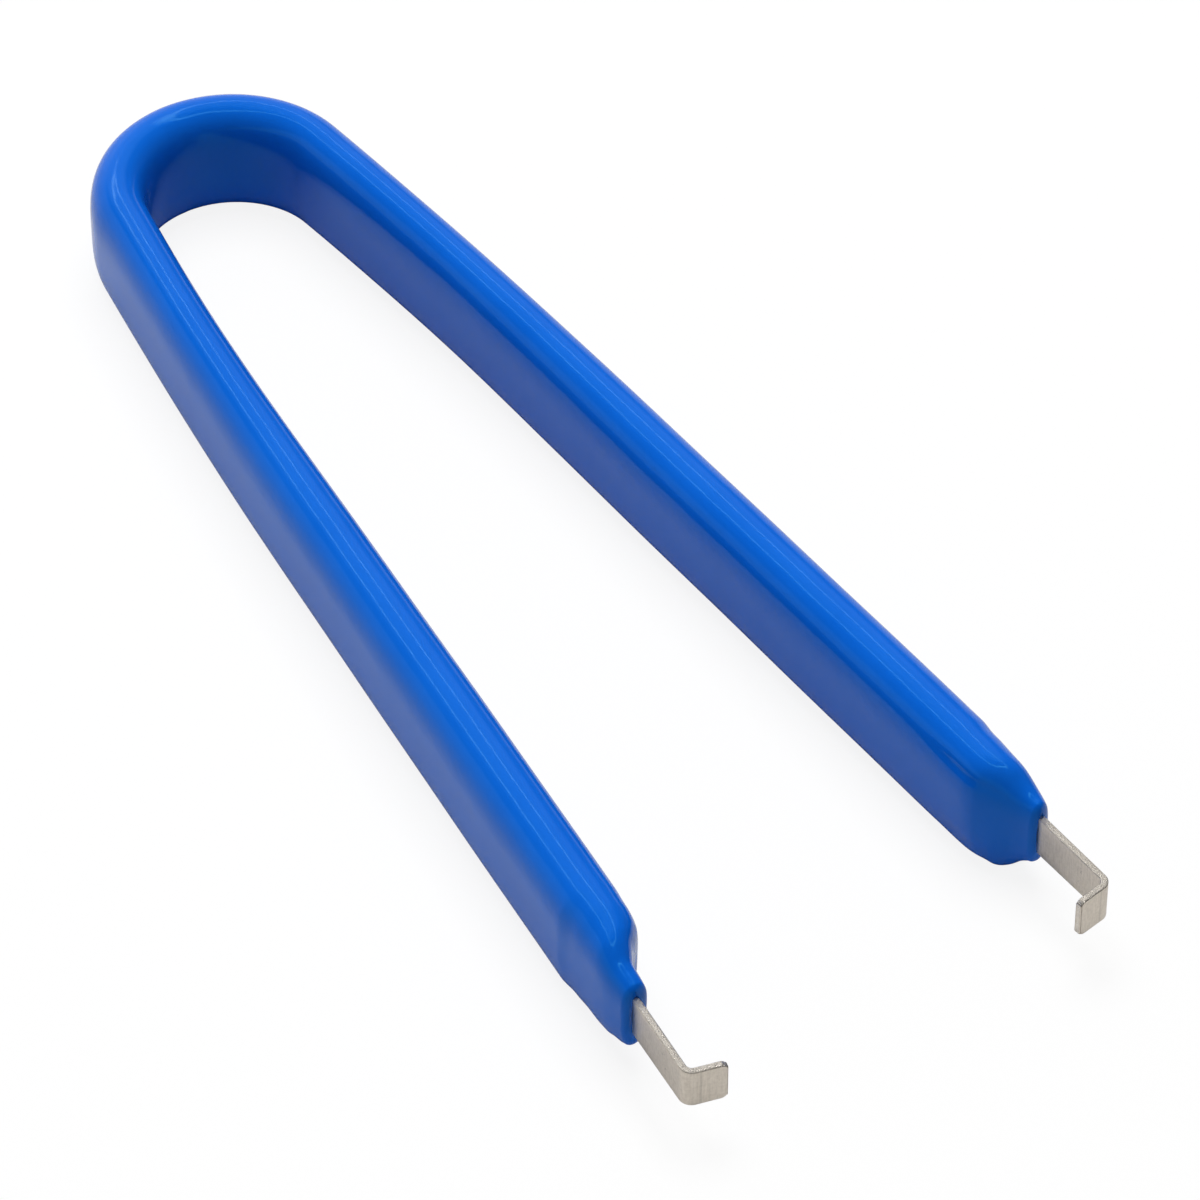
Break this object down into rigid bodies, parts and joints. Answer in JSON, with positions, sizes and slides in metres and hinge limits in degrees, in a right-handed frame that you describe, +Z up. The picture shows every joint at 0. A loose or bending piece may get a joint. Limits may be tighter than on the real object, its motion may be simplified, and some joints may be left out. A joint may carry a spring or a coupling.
{
  "type": "keyboard switch puller",
  "caption": "U-shaped spring-steel tweezer with inward hooked jaws and a dipped vinyl grip, for pulling keyboard switches.",
  "frame": {"origin": "on the surface the tool lies on, under the middle of its box", "axes": "+X from the bend to the jaws, +Y from one arm to the other, +Z up off the long edge that it lies on"},
  "size_m": [0.1192, 0.04, 0.011],
  "materials": {
    "spring_steel": "satin, fine rolling grain, bright sheared edges",
    "blue_vinyl": "glossy dipped vinyl"
  },
  "bodies": {
    "root": {"steel_strip": "spring_steel", "grip_coating": "blue_vinyl"}
  },
  "joints": []
}
